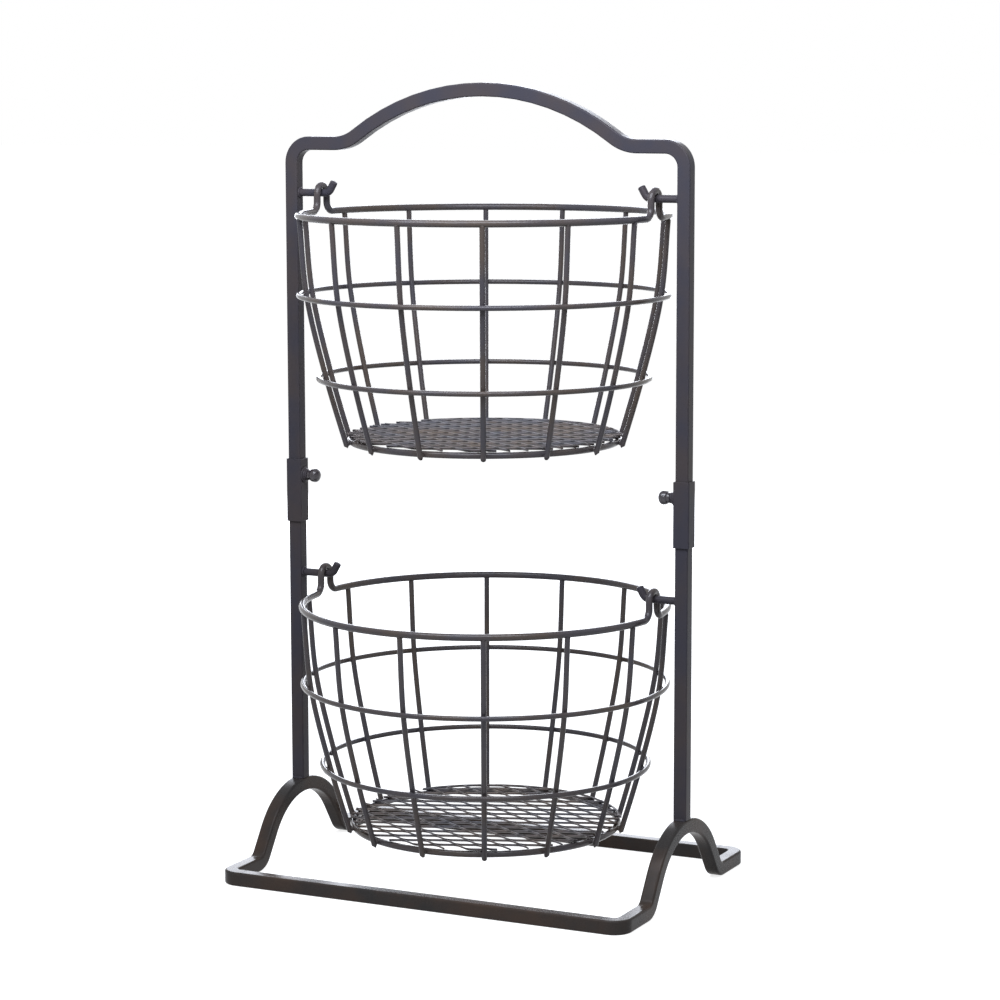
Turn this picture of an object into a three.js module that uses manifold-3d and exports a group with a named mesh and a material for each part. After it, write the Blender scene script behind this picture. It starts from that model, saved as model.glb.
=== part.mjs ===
// Two-tier basket stand: a bent square-bar frame in two sections, clamped together in sleeves
// by thumbscrews, with two round wire baskets hanging from hooks on its posts.
// Millimetres, +Z up, front towards -Y. The origin is on the table under the stand's middle.
import * as THREE from "three";
import { mergeVertices } from "three/addons/utils/BufferGeometryUtils.js";
import Module from "manifold-3d";

const wasm = await Module();
wasm.setup();

// Bar and wire stock
const FRAME_BAR = 10.5; // square bar of the handle frame and the posts
const BASE_BAR = 11; // square bar of the base
const BAR_EDGE = 1.2; // flat across each long edge of a bar
const HOOK_ROD = 6;
const RIM_WIRE = 5.4;
const RIB_WIRE = 4.2;
const HOOP_WIRE = 4;
const RING_WIRE = 5;
const SEAT_GAP = 0.3; // between two pieces that touch

// Basket, with radii to the middle of each wire and depths below the middle of the rim
const RIM_RADIUS = 141.5;
const UPPER_HOOP_RADIUS = 141.5;
const UPPER_HOOP_DEPTH = 60.5;
const LOWER_HOOP_RADIUS = 127;
const LOWER_HOOP_DEPTH = 124;
const RING_RADIUS = 103.2;
const RING_DEPTH = 172;
const RIB_COUNT = 14;
const RIB_TAIL = 2.6; // length of a rib below the middle of the bottom ring
const LOOP_SPACING = 15; // between the two legs of a hanger loop
const LOOP_FILLET = 8; // bend from the rim into a loop's leg
const HANG_DROP = 14.5; // from the middle of the hook to the middle of the rim

// Expanded-metal floor of a basket
const MESH_SHORT_PITCH = 16; // diamond to diamond across
const MESH_LONG_PITCH = 28; // diamond to diamond along
const MESH_STRAND = 2.8; // width of a strand
const MESH_THICKNESS = 2;
const MESH_ANGLE = 85; // degrees between the short pitch and the X axis
const FLOOR_OVERHANG = 1; // of the floor's edge past the middle of the bottom ring

// Heights of the two tiers
const BASKET_LIFT = 38.9; // from the table to the lower basket's ribs
const TIER_GAP = 111.9; // from the lower hooks to the upper basket's ribs
const SLEEVE_RISE = 41; // from the lower hooks to the sleeves
const SHOULDER_RISE = 38.5; // from the upper hooks to the middle of the shoulder run

// Hooks on the posts; here and below a bend's radius is to the inside of the bar or rod
const HOOK_GAP = 19.25; // from the post's inner face to the middle of the rim
const HOOK_BEND = 3;
const HOOK_TIP = 7; // straight length of the upturned tip
const HOOK_TIP_ANGLE = 60; // degrees above the level

// Handle frame
const SHOULDER_BEND = 10;
const HANDLE_BEND = 28; // where the shoulder run turns up into the arch
const HANDLE_RADIUS = 180;
const HANDLE_RISE = 41.6; // of the arch above the shoulder run

// Sleeves, bosses and thumbscrews
const SLEEVE_LENGTH = 50;
const SLEEVE_WALL = 1;
const SLEEVE_CLEARANCE = 0.3; // around the bars inside
const POST_IN_SLEEVE = 18; // length of the lower post inside the sleeve
const SCREW_DROP = 13; // below the top of the sleeve
const SCREW_SHANK = 5;
const SCREW_CLEARANCE = 0.3; // around the shank
const BOSS_FOOT = 11; // diameter at the sleeve
const BOSS_FACE = 8.6; // diameter at the screw's collar
const BOSS_LENGTH = 3.4;
const COLLAR = 8; // diameter of the screw's collar
const COLLAR_LENGTH = 2.2;
const KNOB = 11; // diameter of the screw's head
const KNOB_LENGTH = 7.6;

// Base
const BASE_DEPTH = 242; // outside to outside, front to back
const CORNER_BEND = 3.5;
const WELD_RUN = 6; // straight end of a side bow before it meets a rail
const BOW_HEIGHT = 60.5; // from the table to the top of a side bow
const BOW_RADIUS = 56.5;
const BOW_SLOPE = 55; // degrees of a bow's legs above the level
const FOOT_BEND = 8; // where a leg turns out into its foot run

// Fineness of the round stretches
const BEND_TOLERANCE = 0.2; // how far a bend's chord may lie inside its arc
const ROD_SIDES = 8;
const WIRE_SIDES = 6;
const TURNED_SIDES = 20;
const KNOB_STEPS = 6;
const RIB_STEPS = 8;
const HOOP_STEPS = 3 * RIB_COUNT;
const RIM_STEPS = 20; // between the two loops, on each side
const FILLET_STEPS = 3;
const LOOP_STEPS = 6;

// Places that follow from the sizes
const radians = THREE.MathUtils.degToRad;
const BASKET_DROP = HANG_DROP + RING_DEPTH + RIB_TAIL; // from the hooks to the ends of the ribs
const LOWER_HOOK_Z = BASKET_LIFT + BASKET_DROP;
const UPPER_HOOK_Z = LOWER_HOOK_Z + TIER_GAP + BASKET_DROP;
const SLEEVE_BOTTOM = LOWER_HOOK_Z + SLEEVE_RISE;
const SLEEVE_TOP = SLEEVE_BOTTOM + SLEEVE_LENGTH;
const POST_TOP = SLEEVE_BOTTOM + POST_IN_SLEEVE;
const SCREW_Z = SLEEVE_TOP - SCREW_DROP;
const SHOULDER_Z = UPPER_HOOK_Z + SHOULDER_RISE;
const POST_X = RIM_RADIUS + HOOK_GAP + FRAME_BAR / 2;
const RAIL_Y = BASE_DEPTH / 2 - BASE_BAR / 2;
const RAIL_END = POST_X - CORNER_BEND - BASE_BAR / 2 - WELD_RUN;
const SLEEVE_BORE = FRAME_BAR + 2 * SLEEVE_CLEARANCE;
const SLEEVE_SIZE = SLEEVE_BORE + 2 * SLEEVE_WALL;
const SCREW_HOLE = SCREW_SHANK + 2 * SCREW_CLEARANCE;
const LOOP_TOP = HANG_DROP + HOOK_ROD / 2 + SEAT_GAP + RIM_WIRE / 2; // above the middle of the rim

const BAR_COAT = { color: 0x3b383c, roughness: 0.5, metalness: 0.45 };
const BASE_COAT = { color: 0x3d3a39, roughness: 0.48, metalness: 0.45 };
const WIRE_COAT = { color: 0x403c3d, roughness: 0.52, metalness: 0.4 };
const MESH_COAT = { color: 0x4b4240, roughness: 0.55, metalness: 0.4 };
const SCREW_COAT = { color: 0x353338, roughness: 0.42, metalness: 0.5 };

const point = (x, y, z) => new THREE.Vector3(x, y, z);

// A path through listed points, which a swept section visits one by one
class Route extends THREE.Curve {
  constructor(points, closed = false) {
    super();
    this.points = points;
    this.closed = closed;
    this.steps = closed ? points.length : points.length - 1;
  }

  at(index) {
    const count = this.points.length;
    if (this.closed) return this.points[(index + count) % count];
    return this.points[THREE.MathUtils.clamp(index, 0, count - 1)];
  }

  getPointAt(u, target = new THREE.Vector3()) {
    return target.copy(this.at(Math.round(u * this.steps)));
  }

  getTangentAt(u, target = new THREE.Vector3()) {
    const index = Math.round(u * this.steps);
    return target.subVectors(this.at(index + 1), this.at(index - 1)).normalize();
  }
}

// Points along the middle of a bar that is bent at each inner corner to a radius of its own
function bentPoints(corners, radii) {
  const points = [corners[0]];
  radii.forEach((radius, index) => {
    const corner = corners[index + 1];
    const before = corner.clone().sub(corners[index]).normalize();
    const after = corners[index + 2].clone().sub(corner).normalize();
    const turn = before.angleTo(after);
    const start = corner.clone().addScaledVector(before, -radius * Math.tan(turn / 2));
    const inward = after.clone().addScaledVector(before, -before.dot(after)).normalize();
    const finest = 2 * Math.acos(1 - BEND_TOLERANCE / radius);
    const steps = Math.max(2, Math.ceil(turn / finest));
    for (let step = 0; step <= steps; step++) {
      const angle = (turn * step) / steps;
      const along = radius * Math.sin(angle);
      const across = radius * (1 - Math.cos(angle));
      points.push(start.clone().addScaledVector(before, along).addScaledVector(inward, across));
    }
  });
  points.push(corners[corners.length - 1]);
  return points;
}

// Square section with a small flat on each corner
function barSection(size, edge) {
  const half = size / 2;
  const flat = half - edge / Math.SQRT2;
  return new THREE.Shape([
    new THREE.Vector2(half, -flat),
    new THREE.Vector2(half, flat),
    new THREE.Vector2(flat, half),
    new THREE.Vector2(-flat, half),
    new THREE.Vector2(-half, flat),
    new THREE.Vector2(-half, -flat),
    new THREE.Vector2(-flat, -half),
    new THREE.Vector2(flat, -half),
  ]);
}

function roundSection(diameter, sides) {
  const corners = Array.from({ length: sides }, (_, index) => {
    const angle = (2 * Math.PI * index) / sides;
    return new THREE.Vector2(Math.cos(angle), Math.sin(angle)).multiplyScalar(diameter / 2);
  });
  return new THREE.Shape(corners);
}

function sweep(section, points) {
  const route = new Route(points);
  return new THREE.ExtrudeGeometry(section, { steps: route.steps, extrudePath: route, bevelEnabled: false });
}

function straight(section, length) {
  return new THREE.ExtrudeGeometry(section, { depth: length, bevelEnabled: false });
}

function turned(profile) {
  const points = profile.map(([radius, height]) => new THREE.Vector2(radius, height));
  return new THREE.LatheGeometry(points, TURNED_SIDES);
}

// A closed mesh as a solid for cutting, and a solid as geometry again
function solidOf(geometry) {
  const bare = geometry.clone().deleteAttribute("normal").deleteAttribute("uv");
  const merged = mergeVertices(bare, 1e-4);
  const vertProperties = merged.attributes.position.array;
  const triVerts = new Uint32Array(merged.index.array);
  return new wasm.Manifold(new wasm.Mesh({ numProp: 3, vertProperties, triVerts }));
}

function geometryOf(solid) {
  const mesh = solid.getMesh();
  const geometry = new THREE.BufferGeometry();
  geometry.setAttribute("position", new THREE.BufferAttribute(mesh.vertProperties, 3));
  geometry.setIndex(new THREE.BufferAttribute(mesh.triVerts, 1));
  geometry.computeVertexNormals();
  return geometry;
}

function piece(name, geometry, coat) {
  const mesh = new THREE.Mesh(geometry, new THREE.MeshStandardMaterial(coat));
  mesh.name = name;
  return mesh;
}

// One bar bent into the two upper legs, the shoulders and the arched handle, whose arch runs
// straight on into the bends at its ends
function handleFrame() {
  const arch = HANDLE_RADIUS + FRAME_BAR / 2;
  const turnUp = HANDLE_BEND + FRAME_BAR / 2;
  const slope = Math.acos(1 - HANDLE_RISE / (arch + turnUp));
  const cornerX = (arch + turnUp) * Math.sin(slope) - turnUp * Math.tan(slope / 2);
  const legEnd = POST_TOP + SEAT_GAP;
  const corners = [
    point(-POST_X, 0, legEnd),
    point(-POST_X, 0, SHOULDER_Z),
    point(-cornerX, 0, SHOULDER_Z),
    point(0, 0, SHOULDER_Z + cornerX * Math.tan(slope)),
    point(cornerX, 0, SHOULDER_Z),
    point(POST_X, 0, SHOULDER_Z),
    point(POST_X, 0, legEnd),
  ];
  const shoulder = SHOULDER_BEND + FRAME_BAR / 2;
  const radii = [shoulder, turnUp, arch, turnUp, shoulder];
  return piece("upper_frame", sweep(barSection(FRAME_BAR, BAR_EDGE), bentPoints(corners, radii)), BAR_COAT);
}

// One bar bent into a side of the base: two corners, two foot runs and the bow under the post
function sideBow(name, side) {
  const middle = BASE_BAR / 2;
  const crown = BOW_RADIUS + middle;
  const slope = radians(BOW_SLOPE);
  const peak = BOW_HEIGHT - middle + crown * (1 / Math.cos(slope) - 1);
  const footY = (peak - middle) / Math.tan(slope);
  const corners = [
    point(side * RAIL_END, -RAIL_Y, middle),
    point(side * POST_X, -RAIL_Y, middle),
    point(side * POST_X, -footY, middle),
    point(side * POST_X, 0, peak),
    point(side * POST_X, footY, middle),
    point(side * POST_X, RAIL_Y, middle),
    point(side * RAIL_END, RAIL_Y, middle),
  ];
  const corner = CORNER_BEND + middle;
  const foot = FOOT_BEND + middle;
  const radii = [corner, foot, crown, foot, corner];
  return piece(name, sweep(barSection(BASE_BAR, BAR_EDGE), bentPoints(corners, radii)), BASE_COAT);
}

// Straight bar welded between the side bows
function rail(name, y) {
  const half = RAIL_END - SEAT_GAP;
  const mesh = piece(name, straight(barSection(BASE_BAR, BAR_EDGE), 2 * half), BASE_COAT);
  mesh.rotation.y = Math.PI / 2;
  mesh.position.set(-half, y, BASE_BAR / 2);
  return mesh;
}

function post(name, side) {
  const bottom = BOW_HEIGHT + SEAT_GAP;
  const mesh = piece(name, straight(barSection(FRAME_BAR, BAR_EDGE), POST_TOP - bottom), BAR_COAT);
  mesh.position.set(side * POST_X, 0, bottom);
  return mesh;
}

// Square tube over the joint of a post and an upper leg, with a screw hole in its inner wall
function sleeve(name, side) {
  const section = barSection(SLEEVE_SIZE, BAR_EDGE);
  section.holes.push(barSection(SLEEVE_BORE, BAR_EDGE));
  const drill = new THREE.CylinderGeometry(SCREW_HOLE / 2, SCREW_HOLE / 2, SLEEVE_SIZE, TURNED_SIDES);
  drill.rotateZ(Math.PI / 2);
  drill.translate((-side * SLEEVE_SIZE) / 2, 0, SLEEVE_LENGTH - SCREW_DROP);
  const tube = solidOf(straight(section, SLEEVE_LENGTH)).subtract(solidOf(drill));
  const mesh = piece(name, geometryOf(tube), BAR_COAT);
  mesh.position.set(side * POST_X, 0, SLEEVE_BOTTOM);
  return mesh;
}

// Lays a turned piece along the screw's axis, pointing from the post towards the baskets
function pointInward(mesh, side, fromPost) {
  mesh.rotation.z = (side * Math.PI) / 2;
  mesh.position.set(side * (POST_X - fromPost), 0, SCREW_Z);
  return mesh;
}

// Flared threaded boss welded on the sleeve's inner face
function screwBoss(name, side) {
  const bore = SCREW_HOLE / 2;
  const profile = [
    [bore, 0],
    [BOSS_FOOT / 2, 0],
    [BOSS_FACE / 2, BOSS_LENGTH / 2],
    [BOSS_FACE / 2, BOSS_LENGTH],
    [bore, BOSS_LENGTH],
    [bore, 0],
  ];
  return pointInward(piece(name, turned(profile), BAR_COAT), side, SLEEVE_SIZE / 2 + SEAT_GAP);
}

// Thumbscrew with a round head, whose tip bears on the upper leg
function thumbscrew(name, side) {
  const tip = FRAME_BAR / 2 + SEAT_GAP;
  const collarStart = SLEEVE_SIZE / 2 + BOSS_LENGTH + 2 * SEAT_GAP - tip;
  const knobStart = collarStart + COLLAR_LENGTH;
  const profile = [
    [0, 0],
    [SCREW_SHANK / 2, 0],
    [SCREW_SHANK / 2, collarStart],
    [COLLAR / 2, collarStart],
    [COLLAR / 2, knobStart],
  ];
  for (let step = 1; step < KNOB_STEPS; step++) {
    const angle = (Math.PI * step) / KNOB_STEPS;
    const foot = angle < Math.PI / 2 ? COLLAR / 2 : 0;
    const radius = foot + (KNOB / 2 - foot) * Math.sin(angle);
    profile.push([radius, knobStart + (KNOB_LENGTH * (1 - Math.cos(angle))) / 2]);
  }
  profile.push([0, knobStart + KNOB_LENGTH]);
  return pointInward(piece(name, turned(profile), SCREW_COAT), side, tip);
}

// Round rod welded to the post's inner face, with its tip turned up past the basket's loop
function hook(name, side, z) {
  const face = POST_X - FRAME_BAR / 2 - SEAT_GAP;
  const bendStart = RIM_RADIUS - RIM_WIRE / 2 - SEAT_GAP;
  const bend = HOOK_BEND + HOOK_ROD / 2;
  const angle = radians(HOOK_TIP_ANGLE);
  const tangent = bend * Math.tan(angle / 2);
  const corner = bendStart - tangent;
  const reach = tangent + HOOK_TIP;
  const corners = [
    point(side * face, 0, z),
    point(side * corner, 0, z),
    point(side * (corner - reach * Math.cos(angle)), 0, z + reach * Math.sin(angle)),
  ];
  return piece(name, sweep(roundSection(HOOK_ROD, ROD_SIDES), bentPoints(corners, [bend])), BAR_COAT);
}

// Outline of a hanger loop, as distance round the rim and height above it
function loopOutline() {
  const half = LOOP_SPACING / 2;
  const fillet = Math.min(LOOP_FILLET, LOOP_TOP - half);
  const rise = [];
  for (let step = 0; step <= FILLET_STEPS; step++) {
    const angle = ((Math.PI / 2) * step) / FILLET_STEPS;
    rise.push([-half - fillet + fillet * Math.sin(angle), fillet * (1 - Math.cos(angle))]);
  }
  const top = [];
  for (let step = 0; step <= LOOP_STEPS; step++) {
    const angle = (Math.PI * step) / LOOP_STEPS;
    top.push([-half * Math.cos(angle), LOOP_TOP - half + half * Math.sin(angle)]);
  }
  const fall = rise.map(([along, height]) => [-along, height]).reverse();
  return [...rise, ...top, ...fall];
}

// Closed rim wire that rises into a loop over each hook
function rim(name) {
  const onRim = (angle, height) =>
    point(RIM_RADIUS * Math.cos(angle), RIM_RADIUS * Math.sin(angle), height - HANG_DROP);
  const outline = loopOutline();
  const loopEnd = -outline[0][0] / RIM_RADIUS;
  const points = [];
  for (const middle of [0, Math.PI]) {
    outline.forEach(([along, height]) => points.push(onRim(middle + along / RIM_RADIUS, height)));
    for (let step = 1; step < RIM_STEPS; step++) {
      const angle = loopEnd + ((Math.PI - 2 * loopEnd) * step) / RIM_STEPS;
      points.push(onRim(middle + angle, 0));
    }
  }
  const route = new Route(points, true);
  return piece(name, new THREE.TubeGeometry(route, route.steps, RIM_WIRE / 2, ROD_SIDES, true), WIRE_COAT);
}

// Wire ring, with a corner of its polygon at every rib
function hoop(name, radius, depth, wire) {
  const mesh = piece(name, new THREE.TorusGeometry(radius, wire / 2, WIRE_SIDES, HOOP_STEPS), WIRE_COAT);
  mesh.rotation.z = -Math.PI / 2;
  mesh.position.z = -HANG_DROP - depth;
  return mesh;
}

// Level distance between the middles of a rib and a wire that touch where the rib leans by a slope
function seatOffset(wire, slope) {
  return ((RIB_WIRE + wire) / 2 + SEAT_GAP) * Math.hypot(1, slope);
}

// Rib in the plane of +X, from under the rim, inside both hoops and outside the bottom ring
function ribGeometry() {
  const upperSlope = (RIM_RADIUS - LOWER_HOOP_RADIUS) / LOWER_HOOP_DEPTH;
  const lowerSlope = (UPPER_HOOP_RADIUS - RING_RADIUS) / (RING_DEPTH - UPPER_HOOP_DEPTH);
  const upperRib = UPPER_HOOP_RADIUS - seatOffset(HOOP_WIRE, upperSlope);
  const lowerRib = LOWER_HOOP_RADIUS - seatOffset(HOOP_WIRE, lowerSlope);
  const tailRun = lowerRib - RING_RADIUS - seatOffset(RING_WIRE, lowerSlope);
  const tailSlope = tailRun / (RING_DEPTH - LOWER_HOOP_DEPTH);
  const ringRib = RING_RADIUS + seatOffset(RING_WIRE, tailSlope);
  const course = new THREE.CatmullRomCurve3([
    point(RIM_RADIUS + (RIM_WIRE - RIB_WIRE) / 2, 0, -RIM_WIRE / 2 - SEAT_GAP),
    point(upperRib, 0, -UPPER_HOOP_DEPTH),
    point(lowerRib, 0, -LOWER_HOOP_DEPTH),
    point(ringRib, 0, -RING_DEPTH),
    point(ringRib - RIB_TAIL * tailSlope, 0, -RING_DEPTH - RIB_TAIL),
  ]);
  return sweep(roundSection(RIB_WIRE, WIRE_SIDES), course.getSpacedPoints(RIB_STEPS));
}

// Disc of expanded metal: staggered diamonds cut out, with the strands cut off at its edge
function meshFloor(name) {
  const radius = RING_RADIUS + FLOOR_OVERHANG;
  const halfShort = MESH_SHORT_PITCH / 2;
  const halfLong = MESH_LONG_PITCH / 2;
  const shrink = 1 - (MESH_STRAND * Math.hypot(halfShort, halfLong)) / (2 * halfShort * halfLong);
  const diamond = new THREE.Shape([
    new THREE.Vector2(halfShort * shrink, 0),
    new THREE.Vector2(0, halfLong * shrink),
    new THREE.Vector2(-halfShort * shrink, 0),
    new THREE.Vector2(0, -halfLong * shrink),
  ]);
  const cut = straight(diamond, 2 * MESH_THICKNESS);
  const rows = Math.ceil(radius / halfLong);
  const columns = Math.ceil(radius / MESH_SHORT_PITCH) + 1;
  const cuts = [];
  for (let row = -rows; row <= rows; row++) {
    const stagger = row % 2 === 0 ? 0 : halfShort;
    for (let column = -columns; column <= columns; column++) {
      const along = column * MESH_SHORT_PITCH + stagger;
      cuts.push(solidOf(cut.clone().translate(along, row * halfLong, -MESH_THICKNESS / 2)));
    }
  }
  const disc = solidOf(straight(roundSection(2 * radius, HOOP_STEPS), MESH_THICKNESS));
  const bodies = disc.subtract(wasm.Manifold.union(cuts)).decompose();
  const sheet = bodies.reduce((best, body) => (body.volume() > best.volume() ? body : best));
  const mesh = piece(name, geometryOf(sheet), MESH_COAT);
  mesh.rotation.z = radians(MESH_ANGLE);
  mesh.position.z = -HANG_DROP - RING_DEPTH + RING_WIRE / 2 + SEAT_GAP;
  return mesh;
}

// A basket in its hanging place, with the middle of the hooks as its own origin
function basket(tier, hookZ) {
  const group = new THREE.Group();
  group.position.z = hookZ;
  group.add(rim(`${tier}_rim`));
  group.add(hoop(`${tier}_top_hoop`, UPPER_HOOP_RADIUS, UPPER_HOOP_DEPTH, HOOP_WIRE));
  group.add(hoop(`${tier}_low_hoop`, LOWER_HOOP_RADIUS, LOWER_HOOP_DEPTH, HOOP_WIRE));
  group.add(hoop(`${tier}_bottom_ring`, RING_RADIUS, RING_DEPTH, RING_WIRE));
  group.add(meshFloor(`${tier}_mesh_floor`));
  const rib = ribGeometry();
  for (let index = 0; index < RIB_COUNT; index++) {
    const number = String(index + 1).padStart(2, "0");
    const mesh = piece(`${tier}_rib_${number}`, rib, WIRE_COAT);
    mesh.rotation.z = -Math.PI / 2 + (2 * Math.PI * index) / RIB_COUNT;
    mesh.position.z = -HANG_DROP;
    group.add(mesh);
  }
  return group;
}

const stand = new THREE.Group();
stand.add(handleFrame());
stand.add(rail("front_rail", -RAIL_Y));
stand.add(rail("rear_rail", RAIL_Y));
for (const [word, side] of [
  ["left", -1],
  ["right", 1],
]) {
  stand.add(sideBow(`${word}_side_bow`, side));
  stand.add(post(`${word}_post`, side));
  stand.add(sleeve(`${word}_sleeve`, side));
  stand.add(screwBoss(`${word}_screw_boss`, side));
  stand.add(thumbscrew(`${word}_thumbscrew`, side));
  stand.add(hook(`upper_${word}_hook`, side, UPPER_HOOK_Z));
  stand.add(hook(`lower_${word}_hook`, side, LOWER_HOOK_Z));
}
stand.add(basket("upper", UPPER_HOOK_Z));
stand.add(basket("lower", LOWER_HOOK_Z));

export default stand;
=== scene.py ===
"""Looks of a two-tier basket stand of coated steel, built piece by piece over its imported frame."""

import math

import bmesh
import bpy
from bpy.props import FloatProperty, FloatVectorProperty, IntProperty, PointerProperty
from mathutils import Matrix, Vector


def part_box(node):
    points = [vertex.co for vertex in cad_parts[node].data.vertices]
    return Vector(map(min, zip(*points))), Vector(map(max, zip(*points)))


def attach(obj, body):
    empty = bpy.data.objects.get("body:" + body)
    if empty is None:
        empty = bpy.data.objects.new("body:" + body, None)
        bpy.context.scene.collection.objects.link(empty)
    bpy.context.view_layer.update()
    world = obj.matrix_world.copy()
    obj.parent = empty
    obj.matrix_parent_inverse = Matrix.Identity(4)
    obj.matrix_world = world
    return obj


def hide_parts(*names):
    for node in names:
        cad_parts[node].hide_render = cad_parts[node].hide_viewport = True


bl_info = {
    "name": "Two-tier basket stand",
    "version": (1, 0, 0),
    "blender": (4, 5, 0),
    "location": "3D View > Sidebar > Basket Stand",
    "description": "Builds the coated steel stand, its wire baskets and a plain studio around it",
    "category": "Object",
}

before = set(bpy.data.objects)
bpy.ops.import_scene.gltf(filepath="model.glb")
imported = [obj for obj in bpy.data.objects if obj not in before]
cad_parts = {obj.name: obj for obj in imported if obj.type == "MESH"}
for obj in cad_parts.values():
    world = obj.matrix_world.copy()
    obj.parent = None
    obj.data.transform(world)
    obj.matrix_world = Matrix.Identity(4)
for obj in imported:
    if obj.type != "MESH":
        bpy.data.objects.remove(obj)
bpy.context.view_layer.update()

MM = 0.001
SIDES = (("left", -1), ("right", 1))
TIERS = ("upper", "lower")
HOOK_BODIES = {"upper": "upper_frame", "lower": "base"}
RIBS = sorted(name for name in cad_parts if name.startswith("upper_rib_"))
FIRST_RIB = -math.pi / 2  # angle of the first rib round its basket, at the front
SEAT_GAP = 0.3 * MM  # between two solids that touch, which the looks close

# how finely the meshes are drawn
BEND_STEP = math.radians(5)  # largest turn between two points of a bend
HARD_CORNER = math.radians(40)  # least angle between two faces that keeps their corner hard
BAR_EDGE_STEPS = 5
CIRCLE_STEPS = 144
RING_BEAD_STEPS = 24
HOOK_SIDES = 24
BEAD_SIDES = 10
TURNED_STEPS = 48
FLARE_STEPS = 6
KNOB_STEPS = 20
RIM_STEPS = 60  # between the two loops of a rim
RIB_STEPS = 10  # between two stations of a rib
STRAND_STEPS = 24  # of a strand along one diamond
RIPPLE_STEPS = 4  # of a weld bead along one ripple

# rounded ends of the rods
HOOK_TIP_DEPTH = 1.2 * MM
RIB_TIP_DEPTH = 0.7 * MM
TIP_TURNS = [math.radians(degrees) for degrees in (0, 20, 40, 58, 74)]

# sleeves, bosses and thumbscrews
LIP_CORNER = math.radians(50)  # least angle of a corner that the lip rounds
LIP_STEPS = 3
FLARE_SHARE = 0.62  # flared share of a boss's length
FLARE_POWER = 0.6  # the lower, the sooner the flare narrows
BOSS_ROUNDING = ((0.3, 0), (0.08, 0.1), (0, 0.3))  # millimetres back from the face and in from the side
SHANK_CHAMFER = 0.5 * MM
COLLAR_CHAMFER = 0.2 * MM
NECK = 0.4 * MM  # between a thumbscrew's collar and its round head

# rims and expanded metal
LOOP_LEAD = 1.5  # straight start of a hanger loop on the rim, in fillets
BOND_REACH = 0.06  # share of the long pitch from the middle of a bond to where its strands part
BOND_SEAT = 0.4  # share of a strand's width from its middle to the middle of a bond
# painted shade: past this share of its swing a strand's coat is darkened towards the bond
PAINTED_SHADE_START = 0.6  # share of a strand's swing past which it lies close to a bond
BACK_START = 0.5  # share of a floor's radius past which its edge counts as the back
SHORTEST_STRAND = 8 * MM  # shorter strands are left off a floor
STRAND_EDGE = 0.35 * MM  # radius of a strand's edges

# welds
RIPPLE_DEPTH = 0.07  # share of a bead's radius
RING_RIPPLE = 1.6 * MM
FOOT_RIPPLE = 2 * MM
FOOT_BEAD_INSET = 0.9 * MM  # from a post's corner to the end of a bead at its foot
FOOT_BEAD_OUT = 0.2 * MM  # from a post's face to the middle of a bead at its foot
FOOT_BEAD_SWELL = {-1: 0.45, -0.8: 0.85, -0.4: 1.0, 0: 1.0, 0.4: 1.0, 0.8: 0.85, 1: 0.45}
RIM_SPOT_OUT = 0.5 * MM  # from the middle of a rim to the weld spot of a rib
RIM_SPOT_DOWN = 2 * MM
SPOT_SQUEEZE = (1.0, 0.86, 0.94)
SPOT_SEED = 7

# powder coat
PATCH = 45 * MM  # size of the browner patches
PATCH_START, PATCH_FULL = 0.38, 0.64  # levels of the noise where a patch begins and is full
SMUDGE = 18 * MM  # size of the smudges in the sheen
SMOOTHEST, ROUGHEST = 0.6, 1.4  # levels of the pebbles and smudges together
PEBBLE_DEPTH = 0.05 * MM
PEBBLE_STRENGTH = 0.3
ROUGHNESS_SPREAD = 0.08  # by which pebbles and smudges shift the roughness
BOND_SHADE = 0.45  # share of the colour that is left at a bond, where shade is painted into the coat
FINISHES = {
    # slot: name, roughness, sheen where it is seen head on, size of the pebbles
    "frame_coat": ("satin_powder_coat_on_square_bar", 0.32, 0.06, 0.9 * MM),
    "base_coat": ("satin_powder_coat_on_base_bar", 0.26, 0.06, 0.9 * MM),
    "wire_coat": ("satin_powder_coat_on_wire", 0.22, 0.22, 0.8 * MM),
    "mesh_coat": ("thin_powder_coat_on_expanded_metal", 0.45, 0.1, 0.7 * MM),
    "screw_coat": ("glossy_powder_coat_on_screws", 0.2, 0.5, 0.7 * MM),
}

# studio
SOFT_LIGHT = 0.36  # strength of the world as it lights the stand
PLAIN_LIGHT = 1.0  # strength of the world as it is seen
PAPER_WHITE = 0.6  # share of the light that the floor gives back
PAPER_GLOW = 0.8  # keeps the floor as white as the backdrop where it is seen
FLOOR_HALF = 20.0  # half of the floor's width in metres
FLOOR_DROP = 0.1 * MM  # keeps the floor just clear of the rails
SENSOR_WIDTH = 36.0  # millimetres
CLIP_END = 100.0  # metres
LAMPS = {
    # name: place, target, width and height in metres, power in watts
    "front_top_lamp": ((0.1, -0.45, 0.95), (0, 0, 0.5), 0.8, 0.4, 12),
    "rear_lamp": ((-0.85, 1.75, 0.85), (0, 0, 0.25), 1.2, 1.5, 30),
    "glint_lamp": ((0.25, -1.5, 0.95), (0, 0, 0.4), 0.2, 0.2, 2),
}


def linear(hex_colour):
    """Linear RGB of an sRGB colour written as six hex digits."""
    channels = [int(hex_colour[start : start + 2], 16) / 255 for start in (0, 2, 4)]
    return tuple(c / 12.92 if c <= 0.04045 else ((c + 0.055) / 1.055) ** 2.4 for c in channels)


def length(name, description, millimetres):
    """Property for a size, which is written in millimetres and kept in metres."""
    return FloatProperty(name=name, description=description, default=millimetres * MM, unit="LENGTH")


def angle(name, description, degrees):
    """Property for an angle, which is written in degrees and kept in radians."""
    return FloatProperty(name=name, description=description, default=math.radians(degrees), subtype="ANGLE")


def colour(name, description, hex_colour):
    """Property for a colour, which is written as sRGB and kept as linear RGB."""
    return FloatVectorProperty(
        name=name, description=description, default=linear(hex_colour), subtype="COLOR"
    )


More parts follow.
